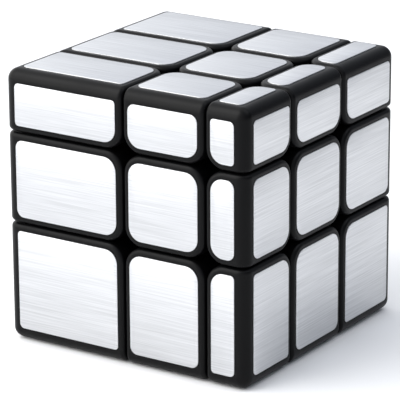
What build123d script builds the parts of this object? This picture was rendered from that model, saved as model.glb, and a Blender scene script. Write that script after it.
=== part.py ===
from build123d import *
from itertools import combinations
from math import asin, degrees, sqrt
import os

os.makedirs("parts", exist_ok=True)

# A twisty puzzle cube whose three layers differ in thickness in every direction.
# Millimetres. X to the right, Y to the back, Z up. The origin is on the surface that the cube
# stands on, under the middle of its footprint.

# ---- Overall size and layers, over the stickers -------------------------------------------
cube_width = 57.0
cube_depth = 57.0
cube_height = 57.0
middle_layer = 19.0
right_layer = 9.6
front_layer = 17.0
top_layer = 13.0

# ---- Cubie shells --------------------------------------------------------------------------
shell_wall = 1.5
inner_edge_radius = 4.0
outer_edge_radius = 2.3
groove_edge_radius = 0.9
turning_gap = 0.15
plug_height = 1.5
plug_clearance = 0.05

# ---- Stickers ------------------------------------------------------------------------------
sticker_thickness = 0.15
sticker_groove_margin = 1.5
sticker_edge_margin = 2.8
crossing_sticker_radius = 2.8
edge_sticker_radius = 1.6
corner_sticker_radius = 0.8
outer_sticker_radius = 1.0

# ---- Feet, which hold the cubies in the ball-shaped space around the core -------------------
cover_over_feet = 2.6
stem_to_foot = 0.6
neck_leg = 3.5
flare_depth = 1.1
foot_plate = 2.15
post_radius = 4.2
post_seat = 1.0
pin_radius = 2.4
pin_length = 4.0

# ---- Centre cubies -------------------------------------------------------------------------
centre_floor = 1.2
cap_thickness = 1.6
cap_rim_wall = 1.0
cap_rim_depth = 0.8
stem_wall = 1.0
stem_bore_clearance = 0.7
stem_floor = 1.5
stem_clearance = 0.2

# ---- Core, screws, washers and springs -----------------------------------------------------
core_radius = 8.0
core_clearance = 0.2
arm_radius = 3.4
arm_step = 0.55
screw_radius = 1.5
screw_clearance = 0.15
screw_tip = 2.6
screw_head_radius = 2.8
screw_head_height = 1.8
screw_head_clearance = 0.95
screw_head_rounding = 0.7
screw_point = 0.5
recess_width = 0.6
recess_span = 3.0
recess_depth = 1.0
washer_radius = 3.2
washer_thickness = 0.4
spring_radius = 2.5
spring_wire = 0.5
spring_pitch = 0.85
spring_clearance = 0.05

# ---- Places worked out from the sizes ------------------------------------------------------
cut_plane = middle_layer / 2
core_centre = Vector(
    cube_width / 2 - right_layer - cut_plane,
    front_layer + cut_plane - cube_depth / 2,
    cube_height - top_layer - cut_plane,
)
directions = {
    "top": Vector(0, 0, 1),
    "bottom": Vector(0, 0, -1),
    "front": Vector(0, -1, 0),
    "back": Vector(0, 1, 0),
    "right": Vector(1, 0, 0),
    "left": Vector(-1, 0, 0),
}
layers = {
    "top": top_layer,
    "bottom": cube_height - middle_layer - top_layer,
    "front": front_layer,
    "back": cube_depth - middle_layer - front_layer,
    "right": right_layer,
    "left": cube_width - middle_layer - right_layer,
}
side_planes = {side: Plane(origin=core_centre, z_dir=way) for side, way in directions.items()}
face_distance = {side: cut_plane + layer for side, layer in layers.items()}
nearest_face = min(face_distance.values())
far_away = cube_width + cube_depth + cube_height

ball_radius = nearest_face - cover_over_feet
seam_radius = ball_radius + turning_gap + foot_plate
centre_floor_radius = ball_radius + turning_gap + centre_floor
flare_radius = nearest_face - flare_depth
neck_cut = (sqrt(3 * ball_radius**2 - 2 * neck_leg**2) - neck_leg) / 3

stem_bore_radius = washer_radius + stem_bore_clearance
stem_radius = stem_bore_radius + stem_wall
foot_cut = stem_radius + stem_to_foot
arm_length = core_radius + arm_step
stem_bottom = arm_length + stem_clearance
stem_floor_top = stem_bottom + stem_floor
stem_top = nearest_face - sticker_thickness - cap_thickness
screw_head_top = stem_top - screw_head_clearance
screw_head_bottom = screw_head_top - screw_head_height
washer_bottom = screw_head_bottom - washer_thickness


def axis_number(side):
    """0, 1 or 2 for a side that faces along X, Y or Z."""
    return [abs(part) for part in directions[side]].index(1)


def is_cubie(sides):
    """A cubie's sides are at right angles to each other."""
    return all(directions[one].dot(directions[other]) == 0 for one, other in combinations(sides, 2))


cubies = [sides for count in (1, 2, 3) for sides in combinations(directions, count) if is_cubie(sides)]


def stretch(side, near, far):
    """The low and high coordinate of a stretch that runs outwards on one side of the core."""
    sign = tuple(directions[side])[axis_number(side)]
    return sorted((sign * near, sign * far))


def add_box(stretches):
    """A box in the part at hand, from its stretches along X, Y and Z, counted from the core."""
    middle = Vector(*((low + high) / 2 for low, high in stretches))
    with Locations(core_centre + middle):
        Box(*(high - low for low, high in stretches))


def outer_plane(side, inset):
    """Distance from the core to a cubie's outer face, moved inwards by inset."""
    return face_distance[side] - sticker_thickness - inset


def sides_at(point, distances):
    """The sides whose plane, at its distance from the core, holds the point."""
    offset = point - core_centre
    return [side for side, far in distances.items() if abs(offset.dot(directions[side]) - far) < 0.01]


def rounded_block(sides, inset):
    """A cubie's outer form, with every face moved inwards and every rounding made smaller by inset."""
    half = cut_plane - turning_gap - inset
    stretches = [(-half, half)] * 3
    outer_planes = {side: outer_plane(side, inset) for side in sides}
    for side, far in outer_planes.items():
        stretches[axis_number(side)] = stretch(side, cut_plane + turning_gap + inset, far)
    with BuildPart() as block:
        add_box(stretches)
        inner = [edge for edge in block.edges() if not sides_at(edge.center(), outer_planes)]
        fillet(inner, inner_edge_radius - inset)
        outer = [edge for edge in block.edges() if len(sides_at(edge.center(), outer_planes)) == 2]
        if outer and outer_edge_radius > inset:
            fillet(outer, outer_edge_radius - inset)
        if groove_edge_radius > inset:
            skin = block.faces().filter_by(lambda face: is_skin(face, outer_planes))
            rim = [edge for edge in block.edges() if sum(edge in face.edges() for face in skin) == 1]
            fillet(rim, groove_edge_radius - inset)
    return block.part


def is_skin(face, outer_planes):
    """True for an outer face of a cubie and for the rounding between two or three of them."""
    if face.geom_type == GeomType.PLANE:
        return bool(sides_at(face.center(), outer_planes))
    offset = face.center() - core_centre
    depths = [far - offset.dot(directions[side]) for side, far in outer_planes.items()]
    return min(depths) < outer_edge_radius


def layer_region(inset):
    """All that turns with the top side of a mechanism whose core is at the origin.

    Beyond the ball the boundary is flat and then flares towards the core; within it the boundary
    is lower, so that feet reach under the neighbouring cubies.
    """
    ball = ball_radius - inset
    low = foot_cut + inset
    lowest_angle = degrees(asin(low / ball))
    neck_angle = degrees(asin((neck_cut + inset) / ball))
    with BuildPart() as region:
        with BuildSketch(Plane.XZ):
            with BuildLine():
                under = CenterArc((0, 0), ball, lowest_angle, neck_angle - lowest_angle)
                flare = (flare_radius, cut_plane + inset)
                far_side = (far_away, cut_plane + inset)
                Polyline(under @ 0, (0, low), (0, far_away), (far_away, far_away), far_side, flare, under @ 1)
            make_face()
        revolve(axis=Axis.Z)
    return region.part


layer_inside = layer_region(turning_gap)
layer_outside = layer_region(-turning_gap)


def cell(sides, blank):
    """What is left of a blank in the space that belongs to one cubie."""
    with BuildPart() as space:
        add(blank)
        with Locations(core_centre):
            Sphere(core_radius + core_clearance, mode=Mode.SUBTRACT)
        for side in directions:
            with Locations(side_planes[side].location):
                if side in sides:
                    add(layer_inside, mode=Mode.INTERSECT)
                elif all(is_cubie((side, own)) for own in sides):
                    add(layer_outside, mode=Mode.SUBTRACT)
    return space.part


# ---- Edge cubies ---------------------------------------------------------------------------
def edge_shell(sides):
    """A hollow shell, open towards the core."""
    with BuildPart() as shell:
        add(cell(sides, rounded_block(sides, 0)))
        add(rounded_block(sides, shell_wall), mode=Mode.SUBTRACT)
        with Locations(core_centre):
            Sphere(seam_radius, mode=Mode.SUBTRACT)
    return shell.part


def edge_foot(sides):
    """A foot under a curved plate that closes the shell, with a plug that goes up into it."""
    with BuildPart() as ball:
        with Locations(core_centre):
            Sphere(seam_radius)
    with BuildPart() as plug:
        add(rounded_block(sides, shell_wall + plug_clearance))
        with Locations(core_centre):
            Sphere(seam_radius + plug_height, mode=Mode.INTERSECT)
            Sphere(seam_radius, mode=Mode.SUBTRACT)
    with BuildPart() as foot:
        add(cell(sides, ball.part))
        add(plug.part)
    return foot.part


# ---- Corner cubies -------------------------------------------------------------------------
# The rounded inner corner of the shell is this far from the core, along the cube's diagonal.
corner_tip = (cut_plane + turning_gap + inner_edge_radius) * sqrt(3) - inner_edge_radius


def diagonal_plane(sides):
    """A plane at the core whose normal runs out through the middle of a corner cubie's foot."""
    outwards = Vector(0, 0, 0)
    for side in sides:
        outwards = outwards + directions[side]
    return Plane(origin=core_centre, z_dir=outwards)


def corner_shell(sides):
    """A hollow shell with a hole for the foot's pin in its inner corner."""
    with BuildPart() as shell:
        add(rounded_block(sides, 0))
        add(rounded_block(sides, shell_wall), mode=Mode.SUBTRACT)
        with BuildSketch(diagonal_plane(sides).offset(corner_tip - post_seat)):
            Circle(pin_radius + plug_clearance)
        extrude(amount=post_seat + pin_length, mode=Mode.SUBTRACT)
    return shell.part


def corner_foot(sides):
    """A foot with a post that the shell sits on, and a pin that goes up into the shell."""
    with BuildPart() as blank:
        with Locations(core_centre):
            Sphere(ball_radius)
        with BuildSketch(diagonal_plane(sides)):
            Circle(post_radius)
        extrude(amount=corner_tip + post_seat)
    with BuildPart() as foot:
        add(cell(sides, blank.part))
        add(rounded_block(sides, 0), mode=Mode.SUBTRACT)
        with BuildSketch(diagonal_plane(sides).offset(corner_tip)):
            Circle(pin_radius)
        extrude(amount=pin_length)
    return foot.part


# ---- Centre cubies -------------------------------------------------------------------------
def above(side, distance):
    """The plane across a side's axis at that distance from the core."""
    return side_planes[side].offset(distance)


def box_outline(inset, mode=Mode.ADD):
    """A centre cubie's square outline, moved inwards by inset, drawn in the sketch at hand."""
    width = 2 * (cut_plane - turning_gap - inset)
    RectangleRounded(width, width, inner_edge_radius - inset, mode=mode)


def centre_base(sides):
    """A box with a curved floor and a round stem, which a screw holds to the core."""
    (side,) = sides
    home = side_planes[side].location
    with BuildPart() as cavity:
        with BuildSketch(above(side, cut_plane)):
            box_outline(shell_wall)
        extrude(amount=layers[side])
        with Locations(home):
            Sphere(centre_floor_radius, mode=Mode.SUBTRACT)
    with BuildPart() as box:
        add(rounded_block(sides, 0))
        split(bisect_by=above(side, outer_plane(side, cap_thickness)), keep=Keep.BOTTOM)
        with Locations(home):
            Sphere(ball_radius + turning_gap, mode=Mode.SUBTRACT)
    with BuildPart() as base:
        add(cell(sides, box.part))
        add(cavity.part, mode=Mode.SUBTRACT)
        with BuildSketch(above(side, stem_bottom)):
            Circle(stem_radius)
        extrude(amount=stem_top - stem_bottom)
        with BuildSketch(above(side, stem_floor_top)):
            Circle(stem_bore_radius)
        extrude(amount=layers[side], mode=Mode.SUBTRACT)
        with BuildSketch(above(side, stem_bottom)):
            Circle(screw_radius + screw_clearance)
        extrude(amount=stem_floor, mode=Mode.SUBTRACT)
    return base.part


def centre_cap(sides):
    """A lid with a rim that snaps into the base."""
    (side,) = sides
    cap_bottom = outer_plane(side, cap_thickness)
    rim_inset = shell_wall + plug_clearance
    with BuildPart() as rim:
        with BuildSketch(above(side, cap_bottom)):
            box_outline(rim_inset)
            box_outline(rim_inset + cap_rim_wall, mode=Mode.SUBTRACT)
        extrude(amount=-cap_rim_depth)
        with Locations(side_planes[side].location):
            Sphere(centre_floor_radius + plug_clearance, mode=Mode.SUBTRACT)
    with BuildPart() as cap:
        add(rounded_block(sides, 0))
        split(bisect_by=above(side, cap_bottom), keep=Keep.TOP)
        add(rim.part)
    return cap.part


# ---- Stickers ------------------------------------------------------------------------------
def sticker(side, sides):
    """One foil sticker on one side of a cubie, with its own radius at each kind of corner."""
    half = cut_plane - sticker_groove_margin
    stretches = [(-half, half)] * 3
    outer_edges = {other: face_distance[other] - sticker_edge_margin for other in sides if other != side}
    for other, far in outer_edges.items():
        stretches[axis_number(other)] = stretch(other, cut_plane + sticker_groove_margin, far)
    stretches[axis_number(side)] = stretch(side, outer_plane(side, 0), face_distance[side])
    corner_radii = {
        (1, 0): crossing_sticker_radius,
        (2, 0): crossing_sticker_radius,
        (3, 0): crossing_sticker_radius,
        (2, 1): edge_sticker_radius,
        (3, 1): corner_sticker_radius,
        (3, 2): outer_sticker_radius,
    }
    with BuildPart() as foil:
        add_box(stretches)
        upright = foil.edges().filter_by((Axis.X, Axis.Y, Axis.Z)[axis_number(side)])
        for count in range(len(sides)):
            corners = [edge for edge in upright if len(sides_at(edge.center(), outer_edges)) == count]
            fillet(corners, corner_radii[len(sides), count])
    return foil.part


# ---- Core, screws, washers and springs -----------------------------------------------------
def on_every_side(piece):
    """Six separate copies of a piece made along Z from the core, one for each side."""
    with BuildPart() as group:
        with Locations(*(plane.location for plane in side_planes.values())):
            add(piece)
    return group.part


with BuildPart() as core:
    with Locations(core_centre):
        Sphere(core_radius)
    for plane in side_planes.values():
        with BuildSketch(plane):
            Circle(arm_radius)
        extrude(amount=arm_length)
    for plane in side_planes.values():
        with BuildSketch(plane.offset(screw_tip)):
            Circle(screw_radius)
        extrude(amount=arm_length - screw_tip, mode=Mode.SUBTRACT)

with BuildPart() as screw:
    with BuildSketch(Plane.XY.offset(screw_tip)):
        Circle(screw_radius)
    extrude(amount=screw_head_bottom - screw_tip)
    chamfer(screw.edges().sort_by(Axis.Z)[0], screw_point)
    with BuildSketch(Plane.XY.offset(screw_head_bottom)):
        Circle(screw_head_radius)
    extrude(amount=screw_head_height)
    fillet(screw.edges().sort_by(Axis.Z)[-1], screw_head_rounding)
    with BuildSketch(Plane.XY.offset(screw_head_top)):
        Rectangle(recess_span, recess_width)
        Rectangle(recess_width, recess_span)
    extrude(amount=-recess_depth, mode=Mode.SUBTRACT)

with BuildPart() as washer:
    with BuildSketch(Plane.XY.offset(washer_bottom)):
        Circle(washer_radius)
        Circle(screw_radius + screw_clearance, mode=Mode.SUBTRACT)
    extrude(amount=washer_thickness)

spring_bottom = stem_floor_top + spring_clearance + spring_wire / 2
spring_top = washer_bottom - spring_clearance - spring_wire / 2
with BuildPart() as spring:
    with BuildLine():
        coil = Helix(spring_pitch, spring_top - spring_bottom, spring_radius, center=(0, 0, spring_bottom))
    with BuildSketch(Plane(origin=coil @ 0, z_dir=coil % 0)):
        Circle(spring_wire / 2)
    sweep(is_frenet=True)

core.part.label = "core"
screws = on_every_side(screw.part)
screws.label = "core_screws"
washers = on_every_side(washer.part)
washers.label = "spring_washers"
springs = on_every_side(spring.part)
springs.label = "compression_springs"
for inner_piece in (core.part, screws, washers, springs):
    export_step(inner_piece, f"parts/{inner_piece.label}.step")

# ---- All cubies, each with its stickers -----------------------------------------------------
kinds = {
    1: ("centre", centre_base, centre_cap),
    2: ("edge", edge_shell, edge_foot),
    3: ("corner", corner_shell, corner_foot),
}
for sides in cubies:
    kind, outer_piece, second_piece = kinds[len(sides)]
    place = "_".join(sides)
    cubie = Compound(label=f"{kind}_cubie_{place}", children=[outer_piece(sides), second_piece(sides)])
    export_step(cubie, f"parts/{cubie.label}.step")
    stickers = Compound(label=f"stickers_{place}", children=[sticker(side, sides) for side in sides])
    export_step(stickers, f"parts/{stickers.label}.step")
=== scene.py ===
# %% [markdown]
# # A twisty puzzle cube with layers of unequal thickness
#
# The CAD model already has the real shapes of this puzzle: black plastic cubies with rounded
# corners, and the core, screws, washers and springs inside. This lesson loads that model as a
# fixed frame, builds the foil stickers on top of it, and gives every piece its real finish.
# Everything is in metres, and Z is up.

# %% Load the CAD model as a fixed frame
import math

import bpy
from mathutils import Euler, Matrix, Vector


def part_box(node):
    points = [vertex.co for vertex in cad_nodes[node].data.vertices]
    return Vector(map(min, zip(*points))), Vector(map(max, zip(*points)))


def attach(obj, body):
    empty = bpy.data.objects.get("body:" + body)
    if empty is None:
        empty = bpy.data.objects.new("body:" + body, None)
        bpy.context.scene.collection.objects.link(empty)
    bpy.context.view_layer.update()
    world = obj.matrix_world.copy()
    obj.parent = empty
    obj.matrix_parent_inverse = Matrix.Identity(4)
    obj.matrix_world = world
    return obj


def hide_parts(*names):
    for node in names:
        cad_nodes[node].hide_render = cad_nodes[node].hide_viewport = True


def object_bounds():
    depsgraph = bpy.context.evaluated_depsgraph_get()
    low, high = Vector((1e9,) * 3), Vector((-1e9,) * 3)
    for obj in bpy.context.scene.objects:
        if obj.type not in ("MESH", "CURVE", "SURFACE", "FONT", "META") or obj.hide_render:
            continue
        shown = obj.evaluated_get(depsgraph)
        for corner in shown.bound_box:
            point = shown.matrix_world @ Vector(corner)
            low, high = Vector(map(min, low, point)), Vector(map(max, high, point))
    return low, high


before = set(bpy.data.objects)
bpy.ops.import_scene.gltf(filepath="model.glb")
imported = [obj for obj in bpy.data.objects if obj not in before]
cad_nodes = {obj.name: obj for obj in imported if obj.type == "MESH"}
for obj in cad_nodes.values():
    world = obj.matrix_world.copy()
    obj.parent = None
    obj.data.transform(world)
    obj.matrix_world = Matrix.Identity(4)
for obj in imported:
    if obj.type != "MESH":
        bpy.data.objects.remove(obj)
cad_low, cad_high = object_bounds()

MM = 0.001

# %% [markdown]
# ## The camera
#
# A product shot of a small cube is taken from a little above one vertical edge, with a long
# lens, so that parallel edges stay nearly parallel. We could place the camera by hand, but two
# angles and a distance from the middle of the cube are easier to read and to change. The tiny
# roll is what a hand-held or tripod camera has when it isn't quite level.

# %% Place the camera
AZIMUTH, ELEVATION, ROLL = 33.31, 17.91, -0.29
CAMERA_DISTANCE = 0.5745
# The lens and sensor are in millimetres, the shift is a share of the frame's width, and the
# nearest and furthest points that the camera sees are in metres, as its distance is.
LENS_LENGTH, SENSOR_WIDTH = 254.6, 36.0
FRAME_SHIFT_X, FRAME_SHIFT_Y = -0.00725, -0.0225
NEAREST_SEEN, FURTHEST_SEEN = 0.01, 20


def direction(azimuth, elevation):
    """The unit vector from the cube towards a point round it: azimuth 0 is in front, 90 right."""
    turn, rise = math.radians(azimuth), math.radians(elevation)
    level = math.cos(rise)
    return Vector((math.sin(turn) * level, -math.cos(turn) * level, math.sin(rise)))


def aim(thing, azimuth, elevation, distance, target):
    """Put a camera or light at a place round the target, looking at it."""
    back = direction(azimuth, elevation)
    thing.location = target + back * distance
    thing.rotation_euler = (-back).to_track_quat("-Z", "Y").to_euler()


cube_middle = (cad_low + cad_high) / 2
bpy.ops.object.camera_add()
camera = bpy.context.object
camera.name = "product_camera"
aim(camera, AZIMUTH, ELEVATION, CAMERA_DISTANCE, cube_middle)
upright = camera.rotation_euler.to_quaternion()
camera.rotation_euler = (upright @ Euler((0, 0, math.radians(ROLL))).to_quaternion()).to_euler()
camera.data.lens = LENS_LENGTH
camera.data.sensor_width = SENSOR_WIDTH
camera.data.shift_x = FRAME_SHIFT_X
camera.data.shift_y = FRAME_SHIFT_Y
camera.data.clip_start = NEAREST_SEEN
camera.data.clip_end = FURTHEST_SEEN
bpy.context.scene.camera = camera
print("camera at", [round(value, 3) for value in camera.location])

# %% [markdown]
# ## Tools for materials
#
# A material in Blender is a small network of nodes. To keep each recipe short we use one
# function that adds a node, fills in its sockets and makes its links, and one that turns the
# hex colours of a paint chart into the linear values that the renderer works in. A Mix node
# has sockets for numbers, vectors and colours, several with the same name, so its colour
# sockets are picked by number.


# %% Helpers for colours and nodes
MIX_FROM, MIX_TO, MIX_RESULT = 6, 7, 2


def linear(hex_colour):
    """An sRGB colour such as "#1A1A1C" as the linear RGBA that sockets take."""
    channels = [int(hex_colour[place:place + 2], 16) / 255 for place in (1, 3, 5)]
    curved = [
        value / 12.92 if value <= 0.04045 else ((value + 0.055) / 1.055) ** 2.4
        for value in channels
    ]
    return (*curved, 1.0)


def add_node(tree, kind, links=(), values=(), **settings):
    """Add one node. Settings are its attributes, values its sockets, links what feeds them."""
    node = tree.nodes.new(kind)
    for name, value in settings.items():
        setattr(node, name, value)
    for socket, value in dict(values).items():
        node.inputs[socket].default_value = value
    for socket, source in dict(links).items():
        tree.links.new(source, node.inputs[socket])
    return node


def new_material(name):
    """An empty material with only a Principled shader, joined to its output."""
    material = bpy.data.materials.new(name)
    material.use_nodes = True
    tree = material.node_tree
    tree.nodes.clear()
    shader = add_node(tree, "ShaderNodeBsdfPrincipled")
    add_node(tree, "ShaderNodeOutputMaterial", links={"Surface": shader.outputs["BSDF"]})
    return material, tree, shader


def set_shader(shader, **values):
    """Set the shader's own sockets: spaces in their names are written as underscores."""
    for name, value in values.items():
        shader.inputs[name.replace("_", " ")].default_value = value


# %% [markdown]
# ## The table and the studio light
#
# The cube stands on a white table that runs out of view, as a roll of white studio paper does.
# Foil shows whatever it faces, so the light has to come from large bright surfaces and not
# from small lamps. The sky is a smooth change from bright, slightly warm white on the front
# left, which fills the front stickers, to a dim blue-grey on the right, which gives the
# right-hand stickers their cooler tone. Four soft panels add to it: two on the front left, one
# on the right and one overhead. A mirror finish would show the panels' edges, but brushed foil
# blurs them into even tones. The panels light the cube without standing in the camera's view.

# %% Lay the white paper
PAPER_SIZE = 8.0
PAPER_DROP = 0.02 * MM

bpy.ops.object.select_all(action="DESELECT")
bpy.ops.mesh.primitive_plane_add(size=PAPER_SIZE, location=(0, 0, cad_low.z - PAPER_DROP))
table_paper = bpy.context.object
table_paper.name = "studio_paper"
bpy.ops.object.transform_apply(location=True, rotation=True, scale=True)

paper, tree, shader = new_material("matt_white_paper")
set_shader(shader, Base_Color=linear("#E8E8E8"), Roughness=0.9, Specular_IOR_Level=0.2)
table_paper.data.materials.append(paper)
print("paper", PAPER_SIZE, "m wide")

# %% Set the sky and the soft panels
BRIGHT_SKY, DIM_SKY = "#FFFDF9", "#C6D0E2"
BRIGHT_STRENGTH, DIM_STRENGTH = 2.5, 0.15
BRIGHT_AZIMUTH = -64
# name: azimuth, elevation, distance and side of the panel in metres, power in watts, colour
PANELS = {
    "key_panel_front_left": (-36, 50, 0.6, 0.4, 1.9, "#FFFFFF"),
    "low_panel_front_left": (-36, 10, 0.9, 0.6, 2.1, "#FFFFFF"),
    "fill_panel_right": (115, 55, 1.0, 0.6, 1.8, "#F4F8FF"),
    "overhead_panel": (160, 78, 1.0, 0.6, 0.9, "#FBFCFF"),
}

scene = bpy.context.scene
scene.view_settings.view_transform = "Standard"
sky = bpy.data.worlds.new("white_studio")
sky.use_nodes = True
tree = sky.node_tree
backdrop = tree.nodes["Background"]
way = add_node(tree, "ShaderNodeTexCoord")
facing = add_node(
    tree, "ShaderNodeVectorMath", operation="DOT_PRODUCT",
    links={0: way.outputs["Generated"]}, values={1: direction(BRIGHT_AZIMUTH, 0)},
)
share = add_node(
    tree, "ShaderNodeMapRange", links={"Value": facing.outputs["Value"]},
    values={"From Min": -1.0, "From Max": 1.0},
)
sky_colour = add_node(
    tree, "ShaderNodeMix", data_type="RGBA", links={"Factor": share.outputs["Result"]},
    values={MIX_FROM: linear(DIM_SKY), MIX_TO: linear(BRIGHT_SKY)},
)
sky_strength = add_node(
    tree, "ShaderNodeMapRange", links={"Value": facing.outputs["Value"]},
    values={
        "From Min": -1.0, "From Max": 1.0, "To Min": DIM_STRENGTH, "To Max": BRIGHT_STRENGTH,
    },
)
tree.links.new(sky_colour.outputs[MIX_RESULT], backdrop.inputs["Color"])
tree.links.new(sky_strength.outputs["Result"], backdrop.inputs["Strength"])
scene.world = sky

for panel_name, (azimuth, elevation, distance, side, power, colour) in PANELS.items():
    bpy.ops.object.light_add(type="AREA")
    panel = bpy.context.object
    panel.name = panel_name
    aim(panel, azimuth, elevation, distance, cube_middle)
    panel.data.shape = "SQUARE"
    panel.data.size = side
    panel.data.energy = power
    panel.data.color = linear(colour)[:3]
    panel.visible_camera = False
print("panels:", len(PANELS))

# %% [markdown]
# ## Moulded black ABS
#
# The cubies are injection-moulded ABS, dyed black through and through. The mould is polished
# and then lightly eroded by sparks, which leaves a satin skin: reflections are soft, and very
# close up there is a fine grain. We could paint that grain, but noise in the roughness and a
# shallow bump do it with nothing to unwrap. Real grain is about 0.05 mm wide, too fine to show
# from where the camera stands, so it is drawn 0.3 mm wide. These mouldings look deep black with
# little gloss, so the specular level is set well below the usual 0.5.

# %% Make the black ABS
GRAIN_WIDTH = 0.3 * MM
GRAIN_DEPTH = 0.004 * MM
HANDLING_WIDTH = 9 * MM
# Noise between these two is spread over the whole change of roughness, and held at its ends
# outside them.
PATCH_LOW, PATCH_HIGH = 0.3, 0.7


def moulded_plastic(name, dark, light, roughness_low, roughness_high, ior, specular):
    """Dyed, spark-eroded plastic: fine grain, and broad faint patches polished by fingers."""
    material, tree, shader = new_material(name)
    place = add_node(tree, "ShaderNodeTexCoord")
    grain = add_node(
        tree, "ShaderNodeTexNoise", links={"Vector": place.outputs["Object"]},
        values={"Scale": 1 / GRAIN_WIDTH, "Detail": 2.0, "Roughness": 0.6},
    )
    handling = add_node(
        tree, "ShaderNodeTexNoise", links={"Vector": place.outputs["Object"]},
        values={"Scale": 1 / HANDLING_WIDTH, "Detail": 3.0, "Roughness": 0.5},
    )
    sheen = add_node(
        tree, "ShaderNodeMapRange", links={"Value": handling.outputs["Fac"]},
        values={
            "From Min": PATCH_LOW, "From Max": PATCH_HIGH,
            "To Min": roughness_low, "To Max": roughness_high,
        },
    )
    dye = add_node(
        tree, "ShaderNodeMix", data_type="RGBA", links={"Factor": grain.outputs["Fac"]},
        values={MIX_FROM: linear(dark), MIX_TO: linear(light)},
    )
    skin = add_node(
        tree, "ShaderNodeBump", links={"Height": grain.outputs["Fac"]},
        values={"Strength": 1.0, "Distance": GRAIN_DEPTH},
    )
    tree.links.new(dye.outputs[MIX_RESULT], shader.inputs["Base Color"])
    tree.links.new(sheen.outputs["Result"], shader.inputs["Roughness"])
    tree.links.new(skin.outputs["Normal"], shader.inputs["Normal"])
    set_shader(shader, IOR=ior, Specular_IOR_Level=specular)
    return material


ABS_IOR = 1.54
black_abs = moulded_plastic(
    "moulded_black_abs", dark="#040405", light="#070708",
    roughness_low=0.34, roughness_high=0.44, ior=ABS_IOR, specular=0.10,
)
print("made", black_abs.name)

# %% [markdown]
# ## Steel and grey acetal
#
# The screws and washers are zinc-plated steel, whose fine crystals look like faint cloudy
# spots, and the springs are drawn steel wire, darker and more polished. The core is acetal, a
# slippery waxy plastic, so it is moulded like the cubies but duller and grey. One noise for the
# crystals is enough for these small parts, which only show when the puzzle is taken apart.

# %% Make the steel and the core's plastic
PLATING_GRAIN = 0.5 * MM


def plated_steel(name, dull, bright, roughness_low, roughness_high):
    """Bare or plated steel: a bluish grey metal whose crystals leave faint cloudy spots."""
    material, tree, shader = new_material(name)
    place = add_node(tree, "ShaderNodeTexCoord")
    crystals = add_node(
        tree, "ShaderNodeTexNoise", links={"Vector": place.outputs["Object"]},
        values={"Scale": 1 / PLATING_GRAIN, "Detail": 4.0, "Roughness": 0.6},
    )
    tone = add_node(
        tree, "ShaderNodeMix", data_type="RGBA", links={"Factor": crystals.outputs["Fac"]},
        values={MIX_FROM: linear(dull), MIX_TO: linear(bright)},
    )
    polish = add_node(
        tree, "ShaderNodeMapRange", links={"Value": crystals.outputs["Fac"]},
        values={"To Min": roughness_low, "To Max": roughness_high},
    )
    tree.links.new(tone.outputs[MIX_RESULT], shader.inputs["Base Color"])
    tree.links.new(polish.outputs["Result"], shader.inputs["Roughness"])
    set_shader(shader, Metallic=1.0)
    return material


ACETAL_IOR = 1.48
zinc_steel = plated_steel(
    "zinc_plated_steel", dull="#A3A8AE", bright="#C3C7CC", roughness_low=0.26, roughness_high=0.42,
)
spring_steel = plated_steel(
    "drawn_spring_steel", dull="#8F9194", bright="#A9ABAE", roughness_low=0.22, roughness_high=0.34,
)
core_acetal = moulded_plastic(
    "moulded_grey_acetal", dark="#3A3B3D", light="#414245",
    roughness_low=0.40, roughness_high=0.52, ior=ACETAL_IOR, specular=0.4,
)
print("made", zinc_steel.name, spring_steel.name, core_acetal.name)

# %% [markdown]
# ## Finishing the CAD pieces
#
# The plastic cubies, the core, the screws, the washers and the springs have their final shape
# already, so each only needs its finish. We assign a material to the slots of its mesh, and
# leave the mesh itself alone.

# %% Give the CAD pieces their finish
FINISHES = {
    "core": core_acetal,
    "core_screws": zinc_steel,
    "spring_washers": zinc_steel,
    "compression_springs": spring_steel,
}
for node_name, node in cad_nodes.items():
    finish = FINISHES.get(node_name, black_abs)
    for number in range(len(node.material_slots)):
        node.material_slots[number].material = finish
print("finished", len(cad_nodes), "CAD pieces")

# %% [markdown]
# ## Brushed silver foil
#
# The stickers are thin polyester film with a layer of aluminium, brushed in one direction
# before it was lacquered. The brush leaves hair-fine parallel scratches, so highlights spread
# across them and stay narrow along them: that is anisotropy. We could draw the scratches in a
# picture, but noise that is squeezed in one direction gives endless foil that never repeats.
# Real scratches are about 0.05 mm apart, too fine to show, so the streaks drawn here are
# 0.25 mm apart and about 18 mm long, with broader and fainter bands over them.
#
# The pattern follows a UV map that holds each sticker's place on the sheet that it was cut
# from, in metres, so that neighbouring stickers don't share their streaks.

# %% Make the foil
SHEET_MAP = "place_on_foil_sheet"
STREAK_SPACING = 0.25 * MM
STREAK_LENGTH = 18 * MM
BAND_SPACING = 0.9 * MM
BAND_LENGTH = 40 * MM
STREAK_DEPTH = 0.001 * MM
BAND_SHARE = 0.18
ROUGHEST, SMOOTHEST = 0.42, 0.36
# Noise between these two is spread over the whole change of tone and roughness, and held at
# its ends outside them.
SCRATCH_LOW, SCRATCH_HIGH = 0.36, 0.64

brushed_foil, tree, shader = new_material("brushed_aluminium_foil")
sheet = add_node(tree, "ShaderNodeUVMap", uv_map=SHEET_MAP)


def brushing(tree, source, spacing, length, detail):
    """Noise in long parallel streaks: squeezed across the brush's way and stretched along it."""
    squeezed = add_node(
        tree, "ShaderNodeMapping", links={"Vector": source},
        values={"Scale": (1 / length, 1 / spacing, 1.0)},
    )
    return add_node(
        tree, "ShaderNodeTexNoise", links={"Vector": squeezed.outputs["Vector"]},
        values={"Scale": 1.0, "Detail": detail, "Roughness": 0.6},
    )


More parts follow.
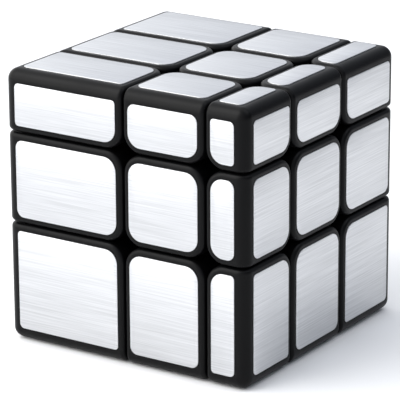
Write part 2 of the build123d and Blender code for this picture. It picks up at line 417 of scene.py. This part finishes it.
streaks = brushing(tree, sheet.outputs["UV"], STREAK_SPACING, STREAK_LENGTH, 3.0)
bands = brushing(tree, sheet.outputs["UV"], BAND_SPACING, BAND_LENGTH, 2.0)
scratches = add_node(
    tree, "ShaderNodeMix", links={"A": streaks.outputs["Fac"], "B": bands.outputs["Fac"]},
    values={"Factor": BAND_SHARE},
)
tone = add_node(
    tree, "ShaderNodeMapRange", links={"Value": scratches.outputs["Result"]},
    values={"From Min": SCRATCH_LOW, "From Max": SCRATCH_HIGH},
)
silver = add_node(
    tree, "ShaderNodeMix", data_type="RGBA", links={"Factor": tone.outputs["Result"]},
    values={MIX_FROM: linear("#C4C5C7"), MIX_TO: linear("#D7D8DA")},
)
polish = add_node(
    tree, "ShaderNodeMapRange", links={"Value": scratches.outputs["Result"]},
    values={
        "From Min": SCRATCH_LOW, "From Max": SCRATCH_HIGH,
        "To Min": ROUGHEST, "To Max": SMOOTHEST,
    },
)
furrows = add_node(
    tree, "ShaderNodeBump", links={"Height": scratches.outputs["Result"]},
    values={"Strength": 1.0, "Distance": STREAK_DEPTH},
)
along = add_node(tree, "ShaderNodeTangent", direction_type="UV_MAP", uv_map=SHEET_MAP)
tree.links.new(silver.outputs[MIX_RESULT], shader.inputs["Base Color"])
tree.links.new(polish.outputs["Result"], shader.inputs["Roughness"])
tree.links.new(furrows.outputs["Normal"], shader.inputs["Normal"])
tree.links.new(along.outputs["Tangent"], shader.inputs["Tangent"])
set_shader(shader, Metallic=1.0, Anisotropic=0.5)
print("made", brushed_foil.name)

# %% [markdown]
# ## Where each sticker goes
#
# A sticker covers the flat part of one face of one cubie. Its place comes from the CAD model:
# the flat sticker in the CAD node is measured, and the cubie's own box tells where the plastic
# ends. Directions are written as an axis number, 0 to 2 for X to Z, and a sign. Points closer
# than a thousandth of a millimetre count as one place.

# %% Measure the stickers' places
SIDES = {
    "top": (2, 1), "bottom": (2, -1), "front": (1, -1),
    "back": (1, 1), "right": (0, 1), "left": (0, -1),
}
CUBIE_KINDS = {1: "centre", 2: "edge", 3: "corner"}
SAME_PLACE = 0.001 * MM


def outward(side):
    """The unit vector that points out of one side of the cube."""
    axis, sign = SIDES[side]
    return Vector([sign if number == axis else 0 for number in range(3)])


def cubie_of(sticker_node):
    """The sides that a cubie shows, such as top and front, and the same as one name."""
    place = sticker_node.removeprefix("stickers_")
    return place.split("_"), place


def foil_place(sticker_node, side):
    """Lowest and highest corner of the flat CAD sticker on one side of a cubie."""
    axis, sign = SIDES[side]
    low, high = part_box(sticker_node)
    plane = (high if sign > 0 else low)[axis]
    points = [
        point.co for point in cad_nodes[sticker_node].data.vertices
        if abs(point.co[axis] - plane) < SAME_PLACE
    ]
    return (
        Vector([min(point[number] for point in points) for number in range(3)]),
        Vector([max(point[number] for point in points) for number in range(3)]),
    )


sticker_nodes = sorted(name for name in cad_nodes if name.startswith("stickers_"))
print("cubies with stickers:", len(sticker_nodes))

# %% [markdown]
# ## Cutting a sticker
#
# A die cuts each sticker with rounded corners. Where four cubies meet, their corners are very
# round, so the sticker's corner is too, and along the cube's own edges it is nearly square.
# We start from a plane, resize it in edit mode, bevel one corner vertex at a time because each
# corner has its own radius, extrude it to the film's thickness, and last round over its upper
# rim a little, which catches the light as real film does.

# %% Cut and round one sticker
# A corner's radius depends on how many sides the cubie shows, and on how many of the corner's
# two edges lie along an edge of the whole cube.
CORNER_RADII = {
    (1, 0): 2.8 * MM, (2, 0): 2.8 * MM, (3, 0): 2.8 * MM,
    (2, 1): 1.6 * MM, (3, 1): 0.8 * MM, (3, 2): 1.0 * MM,
}
RADIUS_STEPS = 8
RIM_ROUNDING = 0.04 * MM
RIM_STEPS = 2
ROUND_PROFILE = 0.5


def select_only(mesh, wanted):
    """In edit mode, select just the vertices that a test picks."""
    bpy.ops.mesh.select_all(action="DESELECT")
    bpy.ops.object.mode_set(mode="OBJECT")
    for vertex in mesh.vertices:
        vertex.select = wanted(vertex.co)
    bpy.ops.object.mode_set(mode="EDIT")


def cut_sticker(name, width, height, thickness, radii):
    """Film lying on the floor at the origin. radii maps a corner's signs to its radius."""
    bpy.ops.object.select_all(action="DESELECT")
    bpy.ops.mesh.primitive_plane_add(size=1)
    film = bpy.context.object
    film.name = film.data.name = name
    bpy.ops.object.mode_set(mode="EDIT")
    bpy.ops.mesh.select_mode(type="VERT")
    bpy.ops.transform.resize(value=(width, height, 1))
    for (x_sign, y_sign), radius in radii.items():
        corner = Vector((x_sign * width / 2, y_sign * height / 2, 0))
        select_only(film.data, lambda point: (point - corner).length < SAME_PLACE)
        bpy.ops.mesh.bevel(
            offset=radius, segments=RADIUS_STEPS, affect="VERTICES", profile=ROUND_PROFILE,
        )
    bpy.ops.mesh.select_all(action="SELECT")
    bpy.ops.mesh.extrude_region_move(TRANSFORM_OT_translate={"value": (0, 0, thickness)})
    select_only(film.data, lambda point: point.z > thickness / 2)
    bpy.ops.mesh.bevel(offset=RIM_ROUNDING, segments=RIM_STEPS, affect="EDGES")
    bpy.ops.mesh.select_all(action="SELECT")
    bpy.ops.mesh.normals_make_consistent(inside=False)
    bpy.ops.object.mode_set(mode="OBJECT")
    return film


# %% [markdown]
# Each sticker is then given its place on the foil sheet, turned to face outwards with the
# brushed lines level, and laid on its cubie. The sides are brushed level all round, and the
# top and bottom from left to right. Each next sticker is cut a step further along the sheet.
# Faces that meet at less than 40 degrees are shaded as one surface, so that the short steps
# round the corners don't show.

# %% Lay the stickers on the cubies
BRUSH_WAY = {0: Vector((0, 1, 0)), 1: Vector((1, 0, 0)), 2: Vector((1, 0, 0))}
SHEET_STEP = Vector((31.7 * MM, 23.9 * MM))
SMOOTH_BELOW = math.radians(40)


def lay_on_sheet(film, number):
    """The UV map: where on the foil sheet this sticker was cut, in metres."""
    layer = film.data.uv_layers.active or film.data.uv_layers.new()
    layer.name = SHEET_MAP
    shift = SHEET_STEP * number
    for loop in film.data.loops:
        point = film.data.vertices[loop.vertex_index].co
        layer.data[loop.index].uv = (point.x + shift.x, point.y + shift.y)


def corner_radius(sides, side, corner_ways):
    """The radius at one corner, from the two directions that lead to it."""
    others = [outward(other) for other in sides if other != side]
    on_cube_edge = sum(way in others for way in corner_ways)
    return CORNER_RADII[len(sides), on_cube_edge]


def make_foil(sticker_node, side, number):
    """One finished sticker, riding on its cubie."""
    sides, place = cubie_of(sticker_node)
    kind = CUBIE_KINDS[len(sides)]
    axis, sign = SIDES[side]
    low, high = foil_place(sticker_node, side)
    plastic_low, plastic_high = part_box(f"{kind}_cubie_{place}")
    plastic = (plastic_high if sign > 0 else plastic_low)[axis]
    thickness = abs(low[axis] - plastic)

    along, normal = BRUSH_WAY[axis], outward(side)
    across = normal.cross(along)
    size = high - low
    radii = {
        (x_sign, y_sign): corner_radius(sides, side, (along * x_sign, across * y_sign))
        for x_sign in (-1, 1) for y_sign in (-1, 1)
    }
    film = cut_sticker(
        f"foil_{side}_of_{place}", abs(size.dot(along)), abs(size.dot(across)), thickness, radii,
    )
    lay_on_sheet(film, number)

    middle = (low + high) / 2
    middle[axis] = plastic
    turn = Matrix((along, across, normal)).transposed().to_4x4()
    film.matrix_world = Matrix.Translation(middle) @ turn
    bpy.ops.object.transform_apply(location=True, rotation=True, scale=True)
    bpy.ops.object.shade_smooth_by_angle(angle=SMOOTH_BELOW)
    film.data.materials.append(brushed_foil)
    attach(film, f"{kind}_{place}")
    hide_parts(sticker_node)
    return film


foils = []
for sticker_node in sticker_nodes:
    for side in cubie_of(sticker_node)[0]:
        foils.append(make_foil(sticker_node, side, len(foils)))
print("stickers:", len(foils), " faces each:", len(foils[0].data.polygons))
